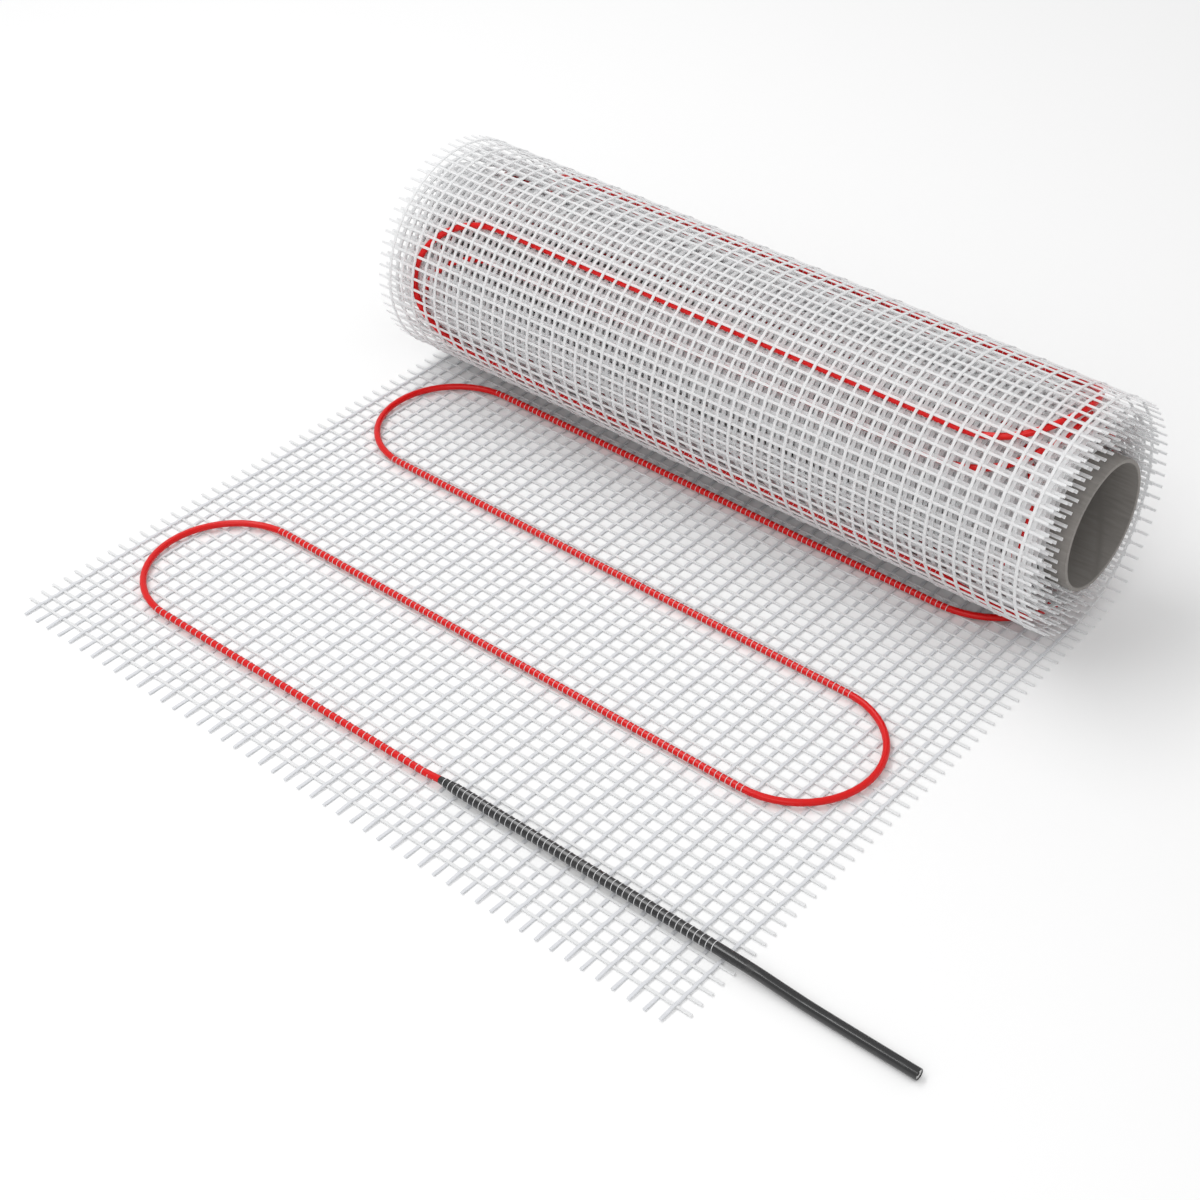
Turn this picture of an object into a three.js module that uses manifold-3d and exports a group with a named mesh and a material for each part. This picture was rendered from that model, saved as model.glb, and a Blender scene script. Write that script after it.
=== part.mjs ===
// Underfloor heating mat, half unrolled: a laid net with a heating cable stitched to it in long
// loops, a cold tail for the supply, and the rest of the mat wound on a cardboard core tube.
// Millimetres, +Z up. The mat lies along Y: its free front edge is at -Y, its roll at +Y.
// X runs across the mat. The origin is on the floor, under the middle of the mat and roll.
import * as THREE from 'three';
import { mergeVertices } from 'three/addons/utils/BufferGeometryUtils.js';
import Module from 'manifold-3d';

const wasm = await Module();
wasm.setup();

// The mat: its width, and its flat length from the front edge to the line where the roll rests
const MAT_WIDTH = 500;
const FLAT_LENGTH = 389.5;

// Net: warps run along Y, wefts along X
const WARP_PITCH = 10;
const WARP_WIDTH = 1.9;
const WEFT_PITCH = 8.53;
const WEFT_WIDTH = 1.7;
const STRAND_THICKNESS = 0.65;
const SIDE_FREE_END = 10;
const FRONT_FREE_END = 11.8;
const NET_PAST_REST_LINE = 16;
const CROSSING_GAP = 0.1;
const BOND_DEPTH = 0.1;
const CROSSINGS_PER_SHEET = 470;

// Roll and core tube
const OUTER_TURN_RADIUS = 77;
const TURN_PITCH = 6.8;
const TURN_COUNT = 5;
const TURN_GROOVE_DEPTH = 12;
const CORE_WALL = 2.4;
const CORE_LENGTH = 494;
const RING_SEGMENTS = 36;

// Heating cable and cold tail
const CABLE_DIAMETER = 4.2;
const CABLE_SIDES = 8;
const RUN_PITCH = 100;
const FIRST_RUN_FROM_FRONT = 50.75;
const LOOP_INSET = 25.5;
const LOOP_STEPS = 12;
const TAIL_DIAMETER = 6.4;
const TAIL_SIDES = 8;
const SPLICE_RISE_LENGTH = 12;

// The cold tail, from the splice along the first run, off the side of the mat and down to the
// floor, to the point where it is cut: X from the mat's centre line, and height of its underside
const TAIL_ROUTE = [
  [48, 2.5], [60, 2.5], [80, 2.5], [100, 2.5], [120, 2.5], [140, 2.5], [160, 2.5], [180, 2.5],
  [200, 2.5], [220, 2.5], [240, 2.5], [252, 2.4], [264, 1.9], [276, 1.1], [288, 0.4], [300, 0.1],
  [320, 0], [340, 0], [355, 0],
];

// Gap between pieces that touch
const TOUCH_GAP = 0.3;

const warpCount = Math.floor((MAT_WIDTH - 2 * SIDE_FREE_END) / WARP_PITCH) + 1;
const netWidth = (warpCount - 1) * WARP_PITCH;
const lowerWarpTop = STRAND_THICKNESS;
const weftBottom = lowerWarpTop + CROSSING_GAP;
const weftTop = weftBottom + STRAND_THICKNESS;
const upperWarpBottom = weftTop + CROSSING_GAP;
const netThickness = upperWarpBottom + STRAND_THICKNESS;

const rollRadius = OUTER_TURN_RADIUS - netThickness - TOUCH_GAP;
const rollAxisZ = OUTER_TURN_RADIUS;
const boreRadius = OUTER_TURN_RADIUS - TURN_COUNT * TURN_PITCH - netThickness;
const coreRadius = boreRadius - TOUCH_GAP;

const frontEdge = -(FLAT_LENGTH + rollRadius) / 2;
const rollAxisY = frontEdge + FLAT_LENGTH;
const flatNetEnd = rollAxisY + NET_PAST_REST_LINE;
const firstWeftY = frontEdge + FRONT_FREE_END;
const flatWefts = Math.floor((flatNetEnd - WEFT_WIDTH / 2 - firstWeftY) / WEFT_PITCH) + 1;

const cableRadius = CABLE_DIAMETER / 2;
const cableHeight = netThickness + TOUCH_GAP + cableRadius;
const firstRunY = frontEdge + FIRST_RUN_FROM_FRONT;
const spliceX = TAIL_ROUTE[0][0];
const spliceHeight = TAIL_ROUTE[0][1] + TAIL_DIAMETER / 2;
const loopRadius = RUN_PITCH / 2;
const loopCentreX = MAT_WIDTH / 2 - LOOP_INSET - loopRadius;

const whiteNet = { color: 0xf2f3f5, roughness: 0.55, metalness: 0 };
const redJacket = { color: 0xd8100c, roughness: 0.3, metalness: 0 };
const blackJacket = { color: 0x26262a, roughness: 0.3, metalness: 0 };
const greyBoard = { color: 0x88837d, roughness: 0.85, metalness: 0 };

const part = new THREE.Group();

function addPiece(name, geometry, look) {
  const piece = new THREE.Mesh(geometry, new THREE.MeshStandardMaterial(look));
  piece.name = name;
  part.add(piece);
  return piece;
}

// Solids for joining
function toSolid(geometry) {
  const bare = geometry.clone();
  bare.deleteAttribute('normal');
  bare.deleteAttribute('uv');
  const merged = mergeVertices(bare, 1e-4);
  return new wasm.Manifold(new wasm.Mesh({
    numProp: 3,
    vertProperties: new Float32Array(merged.attributes.position.array),
    triVerts: new Uint32Array(merged.index.array),
  }));
}

function toGeometry(solid) {
  const mesh = solid.getMesh();
  const geometry = new THREE.BufferGeometry();
  geometry.setAttribute('position', new THREE.BufferAttribute(mesh.vertProperties, 3));
  geometry.setIndex(new THREE.BufferAttribute(mesh.triVerts, 1));
  return geometry;
}

function barSolid(x0, x1, y0, y1, z0, z1) {
  const box = new THREE.BoxGeometry(x1 - x0, y1 - y0, z1 - z0);
  box.translate((x0 + x1) / 2, (y0 + y1) / 2, (z0 + z1) / 2);
  return toSolid(box);
}

// One sheet of the net: odd warps lie under the wefts and even warps over them. The wefts are
// bonded to both selvedge warps, and one tie weft in the middle of the sheet is bonded to every warp.
function netSheet(firstWeft, lastWeft, y0, y1) {
  const tieWeft = Math.round((firstWeft + lastWeft) / 2);
  const bars = [];
  for (let i = 0; i < warpCount; i += 1) {
    const x = -netWidth / 2 + i * WARP_PITCH;
    const isUpper = i % 2 === 0;
    const isSelvedge = i === 0 || i === warpCount - 1;
    const bond = isSelvedge ? CROSSING_GAP + BOND_DEPTH : 0;
    const z0 = isUpper ? upperWarpBottom - bond : 0;
    const z1 = isUpper ? netThickness : lowerWarpTop + bond;
    bars.push(barSolid(x - WARP_WIDTH / 2, x + WARP_WIDTH / 2, y0, y1, z0, z1));
  }
  for (let j = firstWeft; j <= lastWeft; j += 1) {
    const y = firstWeftY + j * WEFT_PITCH;
    const bond = j === tieWeft ? CROSSING_GAP + BOND_DEPTH : 0;
    bars.push(barSolid(
      -MAT_WIDTH / 2, MAT_WIDTH / 2,
      y - WEFT_WIDTH / 2, y + WEFT_WIDTH / 2,
      weftBottom - bond, weftTop + bond,
    ));
  }
  return toGeometry(wasm.Manifold.union(bars));
}

function addFlatNet() {
  const sheets = Math.ceil((flatWefts * warpCount) / CROSSINGS_PER_SHEET);
  const cutBefore = (weft) => firstWeftY + (weft - 0.5) * WEFT_PITCH;
  for (let s = 0; s < sheets; s += 1) {
    const first = Math.round((s * flatWefts) / sheets);
    const next = Math.round(((s + 1) * flatWefts) / sheets);
    const y0 = s === 0 ? frontEdge : cutBefore(first) + TOUCH_GAP / 2;
    const y1 = s === sheets - 1 ? flatNetEnd : cutBefore(next) - TOUCH_GAP / 2;
    addPiece(`net_sheet_${s + 1}`, netSheet(first, next - 1, y0, y1), whiteNet);
  }
}

// A ring turned about the X axis, from a closed profile of (radius, x) points
function turnedRing(profile) {
  const closed = [...profile, profile[0]].map(([radius, x]) => new THREE.Vector2(radius, x));
  const geometry = new THREE.LatheGeometry(closed, RING_SEGMENTS);
  geometry.rotateZ(-Math.PI / 2);
  geometry.translate(0, rollAxisY, rollAxisZ);
  return geometry;
}

// The wound part of the mat: at each end, a band of net for each turn, and inside each band a
// groove for the cable that is wound in with it
function addRoll() {
  const bandEnd = MAT_WIDTH / 2;
  const grooveFloor = bandEnd - TURN_GROOVE_DEPTH;
  const end = [];
  for (let turn = 0; turn < TURN_COUNT; turn += 1) {
    const outer = rollRadius - turn * TURN_PITCH;
    const inner = outer - netThickness;
    if (turn > 0) end.push([outer, grooveFloor]);
    end.push([outer, bandEnd], [inner, bandEnd], [inner, grooveFloor]);
  }
  end.push([boreRadius, grooveFloor]);
  const otherEnd = end.map(([radius, x]) => [radius, -x]).reverse();
  addPiece('mat_roll', turnedRing([...otherEnd, ...end]), whiteNet);
}

function addCoreTube() {
  const bore = coreRadius - CORE_WALL;
  addPiece('core_tube', turnedRing([
    [coreRadius, -CORE_LENGTH / 2],
    [coreRadius, CORE_LENGTH / 2],
    [bore, CORE_LENGTH / 2],
    [bore, -CORE_LENGTH / 2],
  ]), greyBoard);
}

// A route with its own stations, so that straight stretches take one step and bends take many
class StationRoute extends THREE.Curve {
  constructor(stations) {
    super();
    this.stations = stations;
  }

  getPoint(t, target = new THREE.Vector3()) {
    const place = t * (this.stations.length - 1);
    const index = Math.min(Math.floor(place), this.stations.length - 2);
    return target.lerpVectors(this.stations[index], this.stations[index + 1], place - index);
  }

  getPointAt(u, target) {
    return this.getPoint(u, target);
  }

  getTangentAt(u, target = new THREE.Vector3()) {
    const last = this.stations.length - 1;
    const index = Math.round(u * last);
    const before = this.stations[Math.max(index - 1, 0)];
    const after = this.stations[Math.min(index + 1, last)];
    return target.subVectors(after, before).normalize();
  }
}

// The corners of a section with flat sides stand out past the round one that it encloses
function cornerRadius(radius, sides) {
  return radius / Math.cos(Math.PI / sides);
}

function roundTube(stations, radius, sides) {
  const section = new THREE.Shape();
  for (let k = 0; k < sides; k += 1) {
    const angle = ((k + 0.5) * 2 * Math.PI) / sides;
    const x = cornerRadius(radius, sides) * Math.cos(angle);
    const y = cornerRadius(radius, sides) * Math.sin(angle);
    if (k === 0) section.moveTo(x, y);
    else section.lineTo(x, y);
  }
  section.closePath();
  return new THREE.ExtrudeGeometry(section, {
    steps: stations.length - 1,
    extrudePath: new StationRoute(stations),
  });
}

// How far along Y the cable can go before it meets the underside of the roll
function cableStopY() {
  const clear = rollRadius + cornerRadius(cableRadius, CABLE_SIDES) + TOUCH_GAP;
  return rollAxisY - Math.sqrt(clear ** 2 - (rollAxisZ - cableHeight) ** 2);
}

// The cable's route over the flat net: from the splice down to the net on the first run, then out
// and back in loops at alternate sides, until a loop passes under the roll and is wound up with it
function cableStations() {
  const stopY = cableStopY();
  const stations = [
    new THREE.Vector3(spliceX - TOUCH_GAP, firstRunY, spliceHeight),
    new THREE.Vector3(spliceX - SPLICE_RISE_LENGTH, firstRunY, cableHeight),
  ];
  for (let side = -1, runY = firstRunY; runY < stopY; side = -side, runY += RUN_PITCH) {
    for (let k = 0; k <= LOOP_STEPS; k += 1) {
      const angle = (k * Math.PI) / LOOP_STEPS;
      const x = side * (loopCentreX + loopRadius * Math.sin(angle));
      const y = runY + loopRadius * (1 - Math.cos(angle));
      if (y > stopY) {
        stations.push(cutShort(stations.at(-1), x, y, stopY));
        return stations;
      }
      stations.push(new THREE.Vector3(x, y, cableHeight));
    }
  }
  return stations;
}

// The point at stopY on the way from the last station to the next
function cutShort(last, x, y, stopY) {
  const share = (stopY - last.y) / (y - last.y);
  return new THREE.Vector3(last.x + share * (x - last.x), stopY, cableHeight);
}

function addHeatingCable() {
  addPiece('heating_cable', roundTube(cableStations(), cableRadius, CABLE_SIDES), redJacket);
}

function addColdTail() {
  const radius = TAIL_DIAMETER / 2;
  const stations = TAIL_ROUTE.map(([x, underside]) => (
    new THREE.Vector3(x, firstRunY, underside + radius)
  ));
  const tube = roundTube(stations, radius, TAIL_SIDES);
  // The splice tapers from the tail's first station, where it is as thin as the heating cable
  const place = tube.attributes.position;
  const start = stations[0];
  const thin = CABLE_DIAMETER / TAIL_DIAMETER;
  for (let v = 0; v < place.count; v += 1) {
    if (place.getX(v) - start.x < 1) {
      place.setY(v, start.y + (place.getY(v) - start.y) * thin);
      place.setZ(v, start.z + (place.getZ(v) - start.z) * thin);
    }
  }
  addPiece('cold_tail', tube, blackJacket);
}

addFlatNet();
addRoll();
addCoreTube();
addHeatingCable();
addColdTail();

export default part;
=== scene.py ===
import math

import bmesh
import bpy
import numpy as np
from mathutils import Matrix, Vector


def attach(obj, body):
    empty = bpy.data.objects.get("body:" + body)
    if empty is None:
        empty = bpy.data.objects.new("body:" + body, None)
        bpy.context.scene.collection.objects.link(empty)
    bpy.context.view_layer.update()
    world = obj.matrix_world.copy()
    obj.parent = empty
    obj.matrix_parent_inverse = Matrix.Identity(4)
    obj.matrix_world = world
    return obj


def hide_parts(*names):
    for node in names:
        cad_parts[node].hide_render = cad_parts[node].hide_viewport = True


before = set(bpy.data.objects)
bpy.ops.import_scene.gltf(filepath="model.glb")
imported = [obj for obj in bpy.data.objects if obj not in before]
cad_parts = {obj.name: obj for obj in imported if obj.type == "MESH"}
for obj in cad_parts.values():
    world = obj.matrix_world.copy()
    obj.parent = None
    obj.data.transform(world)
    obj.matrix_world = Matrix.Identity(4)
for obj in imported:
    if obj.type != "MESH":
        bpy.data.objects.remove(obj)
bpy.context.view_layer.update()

MM = 0.001

# Camera, solved from the crossings of the net in the photograph
CAMERA_PLACE = (0.66328, -0.78454, 0.8222)
CAMERA_RIGHT = (0.76716, 0.64146, 0.00098)
CAMERA_UP = (-0.40354, 0.48143, 0.77806)
CAMERA_BACK = (0.49862, -0.59729, 0.62819)
CAMERA_LENS = 65.87
SENSOR_WIDTH = 36
NEAR_CLIP = 0.05
FAR_CLIP = 50

# Net: warps run along the mat, wefts across it. Heights are above the underside of the net.
NET_HALF = 240 * MM
FRONT_EDGE = -232.025 * MM
WARP_COUNT = 49
WARP_PITCH = 10 * MM
WARP_SIZE = (1.9 * MM, 0.9 * MM)
WEFT_PITCH = 8.53 * MM
WEFT_SIZE = (1.7 * MM, 0.9 * MM)
FIRST_WEFT = 11.8 * MM
FREE_END = 10 * MM
INNER_WARP_SIZE = (2.4 * MM, 0.9 * MM)
INNER_WEFT_SIZE = (1.9 * MM, 0.9 * MM)
WEFT_HEIGHT = 1.05 * MM
WARP_RISE = 0.62 * MM
WARP_RISE_BETWEEN = 0.1 * MM
NET_THICKNESS = 2.15 * MM
STRAND_BEVEL = 0.24 * MM
CROSSING_WIDEN = 0.1
END_SPREAD = 0.25 * MM
NEAREST_STATION = 1 * MM
NET_SEED = 5

# Roll: a spiral that starts at the rest line, where the flat net ends
REST_LINE = 389.5 * MM
AXIS_Y = 157.475 * MM
AXIS_Z = 77 * MM
OUTER_TURN_RADIUS = 77 * MM
TURN_PITCH = 6.8 * MM
TURN_COUNT = 5
FIRST_WOUND_WEFT = REST_LINE + 5 * MM
WOUND_WEFT_PITCH = 7.614 * MM
SWAP_FROM = REST_LINE + 35 * MM
DRIFT_FROM = REST_LINE + 40 * MM
DRIFT_TO = REST_LINE + 165 * MM
DRIFT = -5 * MM
WOUND_WIDTH = 0.992
CORE_RADIUS = 40.55 * MM
CORE_BORE_RADIUS = 38.15 * MM
CORE_HALF = 247 * MM
CORE_LIP = 0.4 * MM
CORE_SIDES = 128
PLY_WIDTH = 110 * MM

# Heating cable: runs across the mat, joined by loops
CABLE_RADIUS = 2.1 * MM
CABLE_SIDES = 16
CABLE_GAP = 0.03 * MM
CABLE_HEIGHT = NET_THICKNESS + CABLE_RADIUS + CABLE_GAP
FIRST_RUN = 50.75 * MM
RUN_PITCH = 100 * MM
FLAT_RUNS = 4
FIRST_WOUND_RUN = 459.75 * MM
WOUND_RUN_PITCH = 104.75 * MM
OUTER_WOUND_RUNS = 4
INNER_RUN_PITCH = 115 * MM
INNER_WOUND_RUNS = 11
LOOP_REACH = 224.5 * MM
LOOP_STEPS = 24
CABLE_END = 0.6 * LOOP_REACH

# Cold tail: its route is (x, underside) in millimetres, from the splice to the cut end
TAIL_RADIUS = 3.2 * MM
TAIL_SIDES = 32
TAIL_STEPS = 60
TAIL_ROUTE = [
    (48, 2.5), (60, 2.5), (80, 2.5), (100, 2.5), (120, 2.5), (140, 2.5), (160, 2.5), (180, 2.5),
    (200, 2.5), (220, 2.5), (240, 2.5), (252, 2.4), (264, 1.9), (276, 1.1), (288, 0.4), (300, 0.1),
    (320, 0), (340, 0), (355, 0),
]
TAIL_Y = FRONT_EDGE + FIRST_RUN
TAIL_START_HEIGHT = TAIL_ROUTE[0][1] * MM + TAIL_RADIUS
TAIL_CUT = 5 * MM
TAIL_WALL = 0.5 * MM
RIM_BEVEL = 0.2 * MM
FILLING_SUNK = 0.5 * MM
FILLING_DIP = 0.1 * MM
FILLING_FLAT = 0.8
SPLICE_X = TAIL_ROUTE[0][0] * MM
SPLICE_LENGTH = 12 * MM

# Stitches: a thread over the cable, meshed with so many sides and points
STITCH_RADIUS = 0.19 * MM
STITCH_HALF_TURN = 0.62 * math.pi
STITCH_OVER_CABLE = 0.8 * STITCH_RADIUS
STITCH_OVER_NET = 0.3 * STITCH_RADIUS
FINE_STITCH = (6, 15)
COARSE_STITCH = (4, 7)
FIRST_RUN_STITCH = 4.4 * MM
RUN_STITCH = 3.6 * MM
TAIL_STITCH = 3.8 * MM
STITCHED_HALF = 180 * MM
TAIL_STITCH_END = 236 * MM

# Angles in degrees past which an edge is shaded sharp
STRAND_EDGE = 20
TURNED_EDGE = 30
ROUND_EDGE = 60

# Colours, as linear red, green and blue
# The net is one white in three copies: the warps' darker copy is painted shade, the wefts' lighter copy is
# a painted highlight, and the roll's lightest copy is painted light on its turns
WARP_SHADED_WHITE = (0.83, 0.842, 0.865)
WEFT_LIT_WHITE = (0.9, 0.905, 0.91)
ROLL_LIT_WHITE = (0.96, 0.963, 0.967)
FILLING_WHITE = (0.85, 0.85, 0.84)
THREAD_WHITE = (0.86, 0.86, 0.87)
CABLE_RED = (0.72, 0.002, 0.002)
WORN_RED = (0.55, 0.02, 0.02)
TAIL_BLACK = (0.008, 0.008, 0.009)
WORN_BLACK = (0.04, 0.04, 0.04)
BOARD_GREY = (0.25, 0.235, 0.22)
FLOOR_WHITE = (0.95, 0.95, 0.95)

FLOOR_REACH = 6


# Camera
def add_camera():
    camera = bpy.data.objects.new("camera", bpy.data.cameras.new("camera"))
    bpy.context.scene.collection.objects.link(camera)
    turn = Matrix((CAMERA_RIGHT, CAMERA_UP, CAMERA_BACK)).transposed().to_4x4()
    camera.matrix_world = Matrix.Translation(CAMERA_PLACE) @ turn
    camera.data.sensor_width = SENSOR_WIDTH
    camera.data.lens = CAMERA_LENS
    camera.data.clip_start = NEAR_CLIP
    camera.data.clip_end = FAR_CLIP
    bpy.context.scene.camera = camera


# Places on the mat: distance along it from the front edge, place across it, height over its underside
def roll_angle(along):
    """Angle wound up since the rest line, with one turn pitch less radius after each turn."""
    growth = TURN_PITCH / math.tau
    wound = np.maximum(along - REST_LINE, 0)
    radius = OUTER_TURN_RADIUS - WEFT_HEIGHT
    return (radius - np.sqrt(radius ** 2 - 2 * growth * wound)) / growth


def on_mat(along, across, height):
    """Points in the frame. Past the rest line they lie on the spiral, with their height inwards."""
    along, across, height = np.broadcast_arrays(along, across, height)
    angle = roll_angle(along)
    radius = OUTER_TURN_RADIUS - TURN_PITCH * angle / math.tau - height
    flat = along < REST_LINE
    y = np.where(flat, FRONT_EDGE + along, AXIS_Y + radius * np.sin(angle))
    z = np.where(flat, height, AXIS_Z - radius * np.cos(angle))
    return np.stack([across, y, z], -1)


def mat_normal(along):
    angle = roll_angle(along)
    return np.stack([np.zeros_like(angle), -np.sin(angle), np.cos(angle)], -1)


def mat_end():
    """How far along the mat its inner end lies, after all turns of the roll."""
    total = TURN_COUNT * math.tau
    growth = TURN_PITCH / math.tau
    return REST_LINE + (OUTER_TURN_RADIUS - WEFT_HEIGHT) * total - growth * total ** 2 / 2


# Meshes
class Strands:
    """Gathers swept sections into one mesh, with UVs that run along and round each strand."""

    def __init__(self):
        self.points = []
        self.faces = []
        self.uvs = []
        self.count = 0

    def add(self, line, up, section, scale=None):
        """Sweeps a section, drawn anticlockwise in (across, up), along a line and closes its ends."""
        steps, sides = len(line), len(section)
        tangent = np.gradient(line, axis=0)
        tangent /= np.linalg.norm(tangent, axis=1)[:, None]
        up = np.broadcast_to(up, line.shape)
        across = np.cross(up, tangent)
        across /= np.linalg.norm(across, axis=1)[:, None]
        up = np.cross(tangent, across)
        sizes = np.ones((steps, 2)) if scale is None else scale
        ring = section[None] * sizes[:, None]
        points = line[:, None] + ring[..., :1] * across[:, None] + ring[..., 1:] * up[:, None]
        along = np.concatenate([[0], np.cumsum(np.linalg.norm(np.diff(line, axis=0), axis=1))])
        row = self.count + sides * np.arange(steps - 1)[:, None]
        here = np.arange(sides)[None]
        after = (here + 1) % sides
        quads = np.stack([row + here, row + after, row + sides + after, row + sides + here], -1)
        low, high = along[:-1, None], along[1:, None]
        # The fifth array of each set only gives the other four their full shape
        u = np.stack(np.broadcast_arrays(low, low, high, high, here)[:4], -1)
        v = np.stack(np.broadcast_arrays(here, here + 1, here + 1, here, low)[:4], -1) / sides
        self.points.append(points.reshape(-1, 3))
        self.uvs.append(np.stack([u, v], -1).reshape(-1, 2))
        self.faces.extend(quads.reshape(-1, 4).tolist())
        last = self.count + sides * (steps - 1)
        self.faces.append(list(range(self.count + sides - 1, self.count - 1, -1)))
        self.faces.append(list(range(last, last + sides)))
        self.uvs.append(self.cap_uv(section[::-1], along[0]))
        self.uvs.append(self.cap_uv(section, along[-1]))
        self.count += steps * sides

    @staticmethod
    def cap_uv(section, along):
        """A cut end carries its place across the section, in metres, beside the strand's length."""
        return section + (along, 0.5)

    def piece(self, name, material, slot, replaced=()):
        mesh = bpy.data.meshes.new(name)
        mesh.from_pydata(np.concatenate(self.points).tolist(), [], self.faces)
        uvs = np.concatenate(self.uvs)
        mesh.uv_layers.new(name="strand").data.foreach_set("uv", uvs.ravel())
        return add_piece(name, mesh, material, replaced)


def add_piece(name, mesh, material, replaced=()):
    piece = bpy.data.objects.new(name, mesh)
    bpy.context.scene.collection.objects.link(piece)
    mesh.materials.append(material)
    mesh.validate()
    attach(piece, "root")
    if replaced:
        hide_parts(*replaced)
    return piece


def weld(mesh):
    """Joins points at one place, such as a ring with no radius."""
    work = bmesh.new()
    work.from_mesh(mesh)
    bmesh.ops.remove_doubles(work, verts=work.verts, dist=0.001 * MM)
    work.to_mesh(mesh)
    work.free()


def smooth(piece, angle):
    mesh = piece.data
    mesh.shade_smooth()
    mesh.set_sharp_from_angle(angle=math.radians(angle))
    return piece


def strand_section(width, thickness):
    w, h = width / 2, thickness / 2
    inner_w, inner_h = w - STRAND_BEVEL, h - STRAND_BEVEL
    return np.array([
        (-inner_w, -h), (inner_w, -h), (w, -inner_h), (w, inner_h),
        (inner_w, h), (-inner_w, h), (-w, inner_h), (-w, -inner_h),
    ])


def plain_section(width, thickness):
    w, h = width / 2, thickness / 2
    return np.array([(-w, -h), (w, -h), (w, h), (-w, h)])


def round_section(radius, sides):
    angles = np.arange(sides) * math.tau / sides
    return radius * np.stack([np.cos(angles), np.sin(angles)], -1)


# Net
def weft_places(start, end):
    """Places of the wefts along the mat. In the roll they lie a little closer."""
    flat = np.arange(FIRST_WEFT, REST_LINE, WEFT_PITCH)
    wound = np.arange(FIRST_WOUND_WEFT, mat_end(), WOUND_WEFT_PITCH)
    places = np.concatenate([flat, wound])
    return places[(places >= start) & (places < end)]


def crossing_stations(start, end):
    """Stations along a warp at each crossing and half way to the next, and which are crossings."""
    wefts = weft_places(start, end)
    middles = (wefts[1:] + wefts[:-1]) / 2
    inner = np.sort(np.concatenate([wefts, middles]))
    inner = inner[(inner > start + NEAREST_STATION) & (inner < end - NEAREST_STATION)]
    stations = np.concatenate([[start], inner, [end]])
    at_crossing = np.isin(stations, wefts)
    return stations, at_crossing


def wound_x(along, x):
    """Across the mat, where the net creeps to one side as it winds up."""
    share = np.clip((along - DRIFT_FROM) / (DRIFT_TO - DRIFT_FROM), 0, 1)
    return x + share * (DRIFT + (WOUND_WIDTH - 1) * x)


def warp_x(index):
    return -NET_HALF + index * WARP_PITCH


def warp_heights(stations, at_crossing, is_upper):
    """Even warps pass over the wefts on the flat. In the roll they pass under, on its outer face."""
    rise = np.where(at_crossing, WARP_RISE, WARP_RISE_BETWEEN)
    side = np.where(stations < SWAP_FROM, 1, -1)
    return WEFT_HEIGHT + rise * side * (1 if is_upper else -1)


def add_warps(strands, start, end, section):
    stations, at_crossing = crossing_stations(start, end)
    up = mat_normal(stations)
    widen = np.where(at_crossing, 1 + CROSSING_WIDEN, 1)
    scale = np.stack([widen, 2 - widen], -1)
    for index in range(WARP_COUNT):
        x = wound_x(stations, warp_x(index))
        heights = warp_heights(stations, at_crossing, index % 2 == 0)
        strands.add(on_mat(stations, x, heights), up, section, scale)


def add_wefts(strands, start, end, draws, section):
    for along in weft_places(start, end):
        ends = np.array([-1, 1]) * (NET_HALF + FREE_END) + draws.uniform(-END_SPREAD, END_SPREAD, 2)
        line = on_mat(along, wound_x(along, ends), WEFT_HEIGHT)
        strands.add(line, mat_normal(np.full(2, along)), section)


def add_net(flat_materials, roll_materials):
    """The flat stretch and the turns of the roll. Materials go in pairs, for the warps and the wefts."""
    draws = np.random.default_rng(NET_SEED)
    fine = (strand_section(*WARP_SIZE), strand_section(*WEFT_SIZE))
    flattened = (plain_section(*INNER_WARP_SIZE), plain_section(*INNER_WEFT_SIZE))
    first_turn = REST_LINE + math.tau * (OUTER_TURN_RADIUS - WEFT_HEIGHT) - math.pi * TURN_PITCH
    flat_nodes = [f"net_sheet_{number}" for number in range(1, 6)]
    stretches = [
        ("flat", 0, REST_LINE, fine, flat_materials, flat_nodes),
        ("outer_turn", REST_LINE, first_turn, fine, roll_materials, ["mat_roll"]),
        ("inner_turns", first_turn, mat_end(), flattened, roll_materials, ["mat_roll"]),
    ]
    for name, start, end, sections, materials, nodes in stretches:
        warps = Strands()
        add_warps(warps, start, end, sections[0])
        smooth(warps.piece(f"net_warps_{name}", materials[0], "net", nodes), STRAND_EDGE)
        wefts = Strands()
        add_wefts(wefts, start, end, draws, sections[1])
        smooth(wefts.piece(f"net_wefts_{name}", materials[1], "net", nodes), STRAND_EDGE)


# Heating cable
def run_places():
    """Places of the runs along the mat. They lie a little further apart deeper in the roll."""
    flat = [FIRST_RUN + RUN_PITCH * number for number in range(FLAT_RUNS)]
    outer = [FIRST_WOUND_RUN + WOUND_RUN_PITCH * number for number in range(OUTER_WOUND_RUNS)]
    inner = [outer[-1] + INNER_RUN_PITCH * (number + 1) for number in range(INNER_WOUND_RUNS)]
    return flat + outer + inner


def cable_route():
    """Points (along, across) of the whole cable, from the splice to its end inside the roll."""
    runs = run_places()
    route = []
    side = -1
    for here, after in zip(runs, runs[1:]):
        radius = (after - here) / 2
        middle = LOOP_REACH - radius
        for share in (-side * 0.5, 0, side * 0.5):
            route.append((here, share * middle))
        for turn in np.linspace(0, math.pi, LOOP_STEPS + 1):
            along = here + radius * (1 - math.cos(turn))
            across = side * (middle + radius * math.sin(turn))
            route.append((along, across))
        side = -side
    route.append((runs[-1], side * CABLE_END))
    # The first run starts at the splice, so it has no points on the tail's side
    route = [(along, across) for along, across in route if along > runs[0] or across < 0]
    splice = [(runs[0], SPLICE_X), (runs[0], SPLICE_X - SPLICE_LENGTH)]
    return np.array(splice + route)


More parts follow.
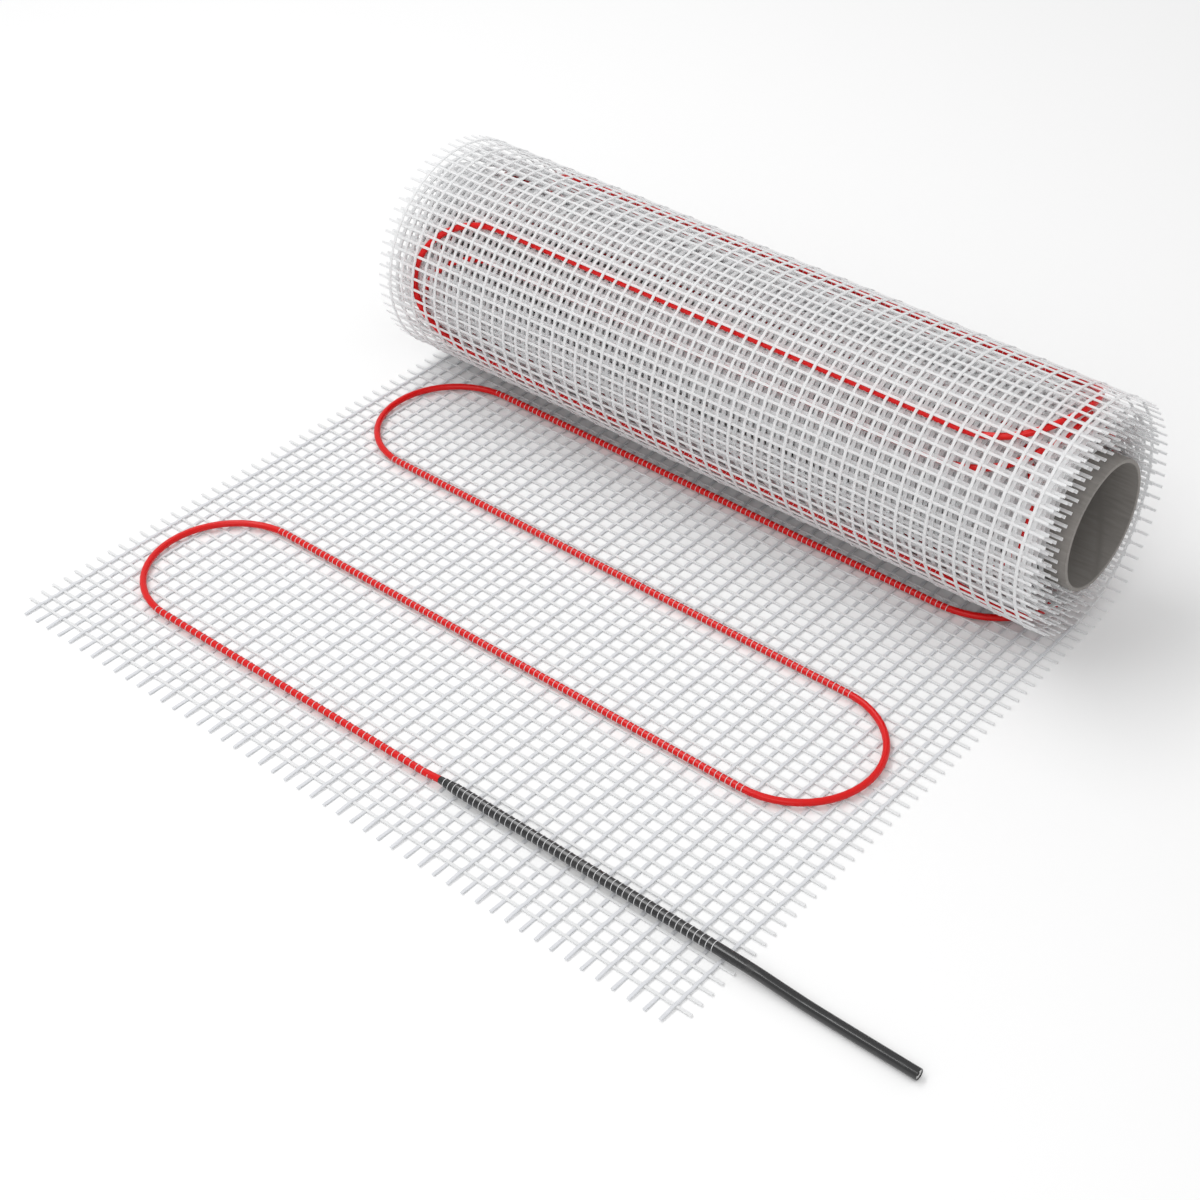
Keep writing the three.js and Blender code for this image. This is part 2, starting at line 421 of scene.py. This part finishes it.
def add_heating_cable(material):
    route = cable_route()
    height = np.full(len(route), CABLE_HEIGHT)
    height[0] = TAIL_START_HEIGHT
    line = on_mat(route[:, 0], route[:, 1], height)
    cable = Strands()
    cable.add(line, mat_normal(route[:, 0]), round_section(CABLE_RADIUS, CABLE_SIDES))
    smooth(cable.piece("heating_cable_jacket", material, "cable_jacket", ["heating_cable"]), ROUND_EDGE)


# Cold tail
def tail_line():
    route = np.array(TAIL_ROUTE) * MM
    end = route[-1, 0] - TAIL_CUT
    x = np.unique(np.concatenate([np.linspace(route[0, 0], end, TAIL_STEPS), route[:-1, 0]]))
    underside = np.interp(x, route[:, 0], route[:, 1])
    return np.stack([x, np.full(len(x), TAIL_Y), underside + TAIL_RADIUS], -1)


def tail_radius(x):
    return np.interp(x, [SPLICE_X, SPLICE_X + SPLICE_LENGTH], [CABLE_RADIUS, TAIL_RADIUS])


def add_cold_tail(jacket, filling):
    """The jacket is swept to just short of its cut end, where a rim stands round the filling."""
    line = tail_line()
    scale = np.repeat(tail_radius(line[:, 0])[:, None], 2, 1) / TAIL_RADIUS
    tail = Strands()
    tail.add(line, (0, 0, 1), round_section(TAIL_RADIUS, TAIL_SIDES), scale)
    piece = tail.piece("cold_tail_jacket", jacket, "tail_jacket", ["cold_tail"])
    smooth(piece, ROUND_EDGE)
    end = TAIL_ROUTE[-1][0] * MM
    start = end - TAIL_CUT
    inner = TAIL_RADIUS - TAIL_WALL
    rim = [
        (TAIL_RADIUS, start), (TAIL_RADIUS, end - RIM_BEVEL), (TAIL_RADIUS - RIM_BEVEL, end),
        (inner, end), (inner, start),
    ]
    brim = end - FILLING_SUNK
    face = brim - FILLING_DIP
    plug = [(inner, start), (inner, brim), (FILLING_FLAT * inner, face), (0, face)]
    axis = (TAIL_Y, TAIL_RADIUS)
    rim_piece = add_turned("cold_tail_rim", rim, axis, TAIL_SIDES, jacket)
    plug_piece = add_turned("cold_tail_filling", plug, axis, TAIL_SIDES, filling)


# Stitches
def add_stitch(strands, along, x, height, radius, mesh_size):
    """One stitch: a thread over the cable, from the net on one side to the net on the other."""
    sides, steps = mesh_size
    turn = np.linspace(-STITCH_HALF_TURN, STITCH_HALF_TURN, steps)
    reach = radius + STITCH_OVER_CABLE
    aside = reach * np.sin(turn)
    lift = np.maximum(height + reach * np.cos(turn), NET_THICKNESS + STITCH_OVER_NET)
    line = on_mat(along + aside, x, lift)
    strands.add(line, (1, 0, 0), round_section(STITCH_RADIUS, sides))


def add_stitches(material):
    runs = run_places()
    fine = Strands()
    for number, along in enumerate(runs[:FLAT_RUNS]):
        end = SPLICE_X if number == 0 else STITCHED_HALF
        pitch = FIRST_RUN_STITCH if number == 0 else RUN_STITCH
        for x in np.arange(-STITCHED_HALF, end, pitch):
            add_stitch(fine, along, x, CABLE_HEIGHT, CABLE_RADIUS, FINE_STITCH)
    for x in np.arange(SPLICE_X + TAIL_STITCH, TAIL_STITCH_END, TAIL_STITCH):
        add_stitch(fine, runs[0], x, TAIL_START_HEIGHT, tail_radius(x), FINE_STITCH)
    smooth(fine.piece("stitches_flat", material, "net"), ROUND_EDGE)
    coarse = Strands()
    for along in runs[FLAT_RUNS:]:
        for x in np.arange(-STITCHED_HALF, STITCHED_HALF, RUN_STITCH):
            add_stitch(coarse, along, x, CABLE_HEIGHT, CABLE_RADIUS, COARSE_STITCH)
    smooth(coarse.piece("stitches_wound", material, "net"), ROUND_EDGE)


# Turned pieces
def add_turned(name, profile, axis, sides, material, replaced=()):
    """Turns a closed profile of (radius, x) points about an axis along X through (y, z)."""
    angles = np.arange(sides) * math.tau / sides
    points, faces = [], []
    for radius, x in profile:
        y = axis[0] + radius * np.cos(angles)
        z = axis[1] + radius * np.sin(angles)
        points.extend(np.stack([np.full(sides, x), y, z], -1).tolist())
    rings = len(profile)
    for ring in range(rings):
        after = (ring + 1) % rings
        for k in range(sides):
            n = (k + 1) % sides
            faces.append((ring * sides + k, ring * sides + n, after * sides + n, after * sides + k))
    mesh = bpy.data.meshes.new(name)
    mesh.from_pydata(points, [], faces)
    weld(mesh)
    return smooth(add_piece(name, mesh, material, replaced), TURNED_EDGE)


def add_core_tube(material):
    wall_end = CORE_HALF - CORE_LIP
    outer_lip = CORE_RADIUS - CORE_LIP
    inner_lip = CORE_BORE_RADIUS + CORE_LIP
    profile = [
        (CORE_RADIUS, -wall_end), (CORE_RADIUS, wall_end), (outer_lip, CORE_HALF), (inner_lip, CORE_HALF),
        (CORE_BORE_RADIUS, wall_end), (CORE_BORE_RADIUS, -wall_end), (inner_lip, -CORE_HALF),
        (outer_lip, -CORE_HALF),
    ]
    axis = (AXIS_Y, AXIS_Z)
    add_turned("core_tube_board", profile, axis, CORE_SIDES, material, ["core_tube"])


# Materials
class Look:
    """A Principled material, with short ways to lead textures to its sockets."""

    def __init__(self, name, color, roughness, specular=0.5, coat=0.0):
        self.material = bpy.data.materials.new(name)
        self.material.use_nodes = True
        self.tree = self.material.node_tree
        self.shader = self.tree.nodes["Principled BSDF"]
        self.set("Base Color", (*color, 1))
        self.set("Roughness", roughness)
        self.set("Specular IOR Level", specular)
        self.set("Coat Weight", coat)

    def set(self, socket, value):
        self.shader.inputs[socket].default_value = value

    def node(self, kind, *inputs):
        """A node of one kind, whose first sockets get the given links or values."""
        node = self.tree.nodes.new("ShaderNode" + kind)
        for socket, value in zip(node.inputs, inputs):
            if isinstance(value, bpy.types.NodeSocket):
                self.tree.links.new(value, socket)
            elif value is not None:
                socket.default_value = value
        return node

    def along_strand(self, per_metre, round_it):
        """Texture coordinates that run along a strand and round it."""
        uv = self.node("UVMap")
        uv.uv_map = "strand"
        return self.node("Mapping", uv.outputs[0], None, None, (per_metre, round_it, 1)).outputs[0]

    def in_space(self, scale=(1, 1, 1)):
        place = self.node("TexCoord").outputs["Object"]
        return self.node("Mapping", place, None, None, scale).outputs[0]

    def noise(self, place, scale, detail=2):
        node = self.node("TexNoise", place)
        node.inputs["Scale"].default_value = scale
        node.inputs["Detail"].default_value = detail
        return node.outputs[0]

    def spread(self, value, low, high, start=0.3, end=0.7):
        """A texture's values from start to end, spread over low to high."""
        return self.node("MapRange", value, start, end, low, high).outputs[0]

    def math(self, operation, first, second=None):
        node = self.node("Math", first, second)
        node.operation = operation
        return node.outputs[0]

    def color_between(self, share, first, second):
        node = self.tree.nodes.new("ShaderNodeMix")
        node.data_type = "RGBA"
        self.tree.links.new(share, node.inputs[0])
        for socket, color in ((node.inputs[6], first), (node.inputs[7], second)):
            if isinstance(color, bpy.types.NodeSocket):
                self.tree.links.new(color, socket)
            else:
                socket.default_value = (*color, 1)
        return node.outputs[2]

    def lead(self, value, socket):
        self.tree.links.new(value, self.shader.inputs[socket])

    def let_light_through(self, share, color):
        glow = self.node("BsdfTranslucent", (*color, 1))
        mix = self.node("MixShader", share, self.shader.outputs[0], glow.outputs[0])
        self.tree.links.new(mix.outputs[0], self.tree.nodes["Material Output"].inputs["Surface"])

    def bump(self, *reliefs):
        """Relief from pairs of (height texture, height in metres)."""
        normal = None
        for height, distance in reliefs:
            node = self.tree.nodes.new("ShaderNodeBump")
            node.inputs["Strength"].default_value = 1
            node.inputs["Distance"].default_value = distance
            self.tree.links.new(height, node.inputs["Height"])
            if normal is not None:
                self.tree.links.new(normal, node.inputs["Normal"])
            normal = node.outputs[0]
        self.lead(normal, "Normal")


def shade(color, factor):
    return tuple(value * factor for value in color)


def net_material(name, color, through=0.2):
    """Bundled glass filaments in a white coating that lies a little uneven and lets light through."""
    look = Look(name, color, 0.5, 0.35)
    filaments = look.noise(look.along_strand(70, 9), 1)
    coating = look.noise(look.in_space(), 900, 3)
    patches = look.noise(look.in_space(), 35)
    tinted = look.color_between(look.spread(patches, 0, 1), shade(color, 0.96), color)
    look.lead(look.color_between(look.spread(filaments, 0, 0.5), tinted, shade(color, 0.93)), "Base Color")
    look.lead(look.spread(coating, 0.4, 0.62), "Roughness")
    look.bump((filaments, 0.12 * MM), (coating, 0.05 * MM))
    look.let_light_through(through, color)
    return look.material


def jacket_material(name, color, worn, roughness, specular, coat):
    """An extruded jacket: faint lines along it, a soft orange peel and a few dull scuffs."""
    look = Look(name, color, roughness, specular, coat)
    lines = look.noise(look.along_strand(6, 24), 1)
    peel = look.noise(look.in_space(), 700)
    scuffs = look.spread(look.noise(look.in_space(), 160, 5), 0, 1, 0.58, 0.72)
    tinted = look.color_between(look.spread(lines, 0, 1), shade(color, 0.9), color)
    look.lead(look.color_between(look.math("MULTIPLY", scuffs, 0.35), tinted, worn), "Base Color")
    look.lead(look.math("ADD", look.math("MULTIPLY", scuffs, 0.2), roughness), "Roughness")
    look.bump((lines, 0.03 * MM), (peel, 0.015 * MM))
    look.set("Coat Roughness", 0.12)
    return look.material


def thread_material(color):
    """Sewing thread of two twisted plies, painted darker in the grooves between them as painted shade."""
    look = Look("thread_white", color, 0.6, 0.3)
    twist = look.node("TexWave", look.along_strand(900, 1), 1.0)
    fuzz = look.noise(look.in_space(), 3000)
    # Painted shade: the colour darkens where the twist's relief is low, in the grooves between the plies
    look.lead(look.color_between(twist.outputs[1], shade(color, 0.8), color), "Base Color")
    look.lead(look.spread(fuzz, 0.5, 0.8), "Roughness")
    look.set("Sheen Weight", 0.3)
    look.bump((twist.outputs[1], 0.05 * MM))
    return look.material


def board_material(color):
    """Grey-brown paper board: fibres, blotches and a faint seam of wound plies, round in a helix."""
    look = Look("core_grey", color, 0.85, 0.25)
    x, y, z = look.node("SeparateXYZ", look.in_space()).outputs
    angle = look.math("ARCTAN2", look.math("SUBTRACT", z, AXIS_Z), look.math("SUBTRACT", y, AXIS_Y))
    turns = look.math("ADD", look.math("DIVIDE", x, PLY_WIDTH), look.math("DIVIDE", angle, math.tau))
    place_in_ply = look.math("FRACT", turns)
    seam = look.spread(look.math("ABSOLUTE", look.math("SUBTRACT", place_in_ply, 0.5)), 0, 1, 0.47, 0.5)
    fibres = look.noise(look.in_space((60, 500, 500)), 1, 4)
    pulp = look.noise(look.in_space(), 1200, 3)
    blotches = look.noise(look.in_space(), 25)
    mottled = look.color_between(look.spread(blotches, 0, 1), shade(color, 0.86), shade(color, 1.08))
    fibrous = look.color_between(look.spread(fibres, 0, 0.6), mottled, shade(color, 1.3))
    look.lead(look.color_between(seam, fibrous, shade(color, 0.95)), "Base Color")
    look.lead(look.spread(pulp, 0.75, 0.95), "Roughness")
    look.bump((fibres, 0.02 * MM), (pulp, 0.03 * MM))
    return look.material


# Floor and light
def add_floor():
    mesh = bpy.data.meshes.new("floor")
    corners = [(x * FLOOR_REACH, y * FLOOR_REACH, 0) for x, y in ((-1, -1), (1, -1), (1, 1), (-1, 1))]
    mesh.from_pydata(corners, [], [(0, 1, 2, 3)])
    floor = bpy.data.objects.new("floor", mesh)
    bpy.context.scene.collection.objects.link(floor)
    look = Look("floor_paint", FLOOR_WHITE, 0.9, 0.1)
    grain = look.noise(look.in_space(), 300)
    look.lead(look.spread(grain, 0.85, 0.95), "Roughness")
    mesh.materials.append(look.material)


def add_light(name, location, target, size, power):
    """A soft light. Its first size lies level, and its second leans with the aim."""
    lamp = bpy.data.lights.new(name, "AREA")
    lamp.shape = "RECTANGLE"
    lamp.size, lamp.size_y = size
    lamp.energy = power
    light = bpy.data.objects.new(name, lamp)
    bpy.context.scene.collection.objects.link(light)
    light.location = location
    aim = Vector(target) - Vector(location)
    light.rotation_euler = aim.to_track_quat("-Z", "Y").to_euler()


def add_world(strength):
    world = bpy.data.worlds.new("studio")
    bpy.context.scene.world = world
    world.use_nodes = True
    back = world.node_tree.nodes["Background"]
    back.inputs["Color"].default_value = (1, 1, 1, 1)
    back.inputs["Strength"].default_value = strength


add_camera()
black_jacket = jacket_material("tail_black", TAIL_BLACK, WORN_BLACK, roughness=0.2, specular=0.6, coat=0.25)
red_jacket = jacket_material("cable_red", CABLE_RED, WORN_RED, roughness=0.32, specular=0.3, coat=0.1)
add_cold_tail(black_jacket, net_material("tail_filler", FILLING_WHITE))
# Lit and shaded copies of the one net white: painted shade on the warps, painted light on the wefts and on
# the roll's turns
warp_shaded_white = net_material("warp_shaded_white", WARP_SHADED_WHITE)
weft_lit_white = net_material("weft_lit_white", WEFT_LIT_WHITE)
roll_lit_white = net_material("roll_lit_white", ROLL_LIT_WHITE, through=0.4)
add_net((warp_shaded_white, weft_lit_white), (roll_lit_white, roll_lit_white))
add_heating_cable(red_jacket)
add_stitches(thread_material(THREAD_WHITE))
add_core_tube(board_material(BOARD_GREY))
add_floor()
add_light("top_soft", location=(-0.7, -0.2, 1.6), target=(0, 0, 0), size=(2.4, 0.35), power=14)
add_light("front_soft", location=(0.5, -1.1, 1.1), target=(0, 0.1, 0), size=(0.9, 0.9), power=4)
add_world(0.68)
bpy.context.scene.view_settings.view_transform = "Standard"
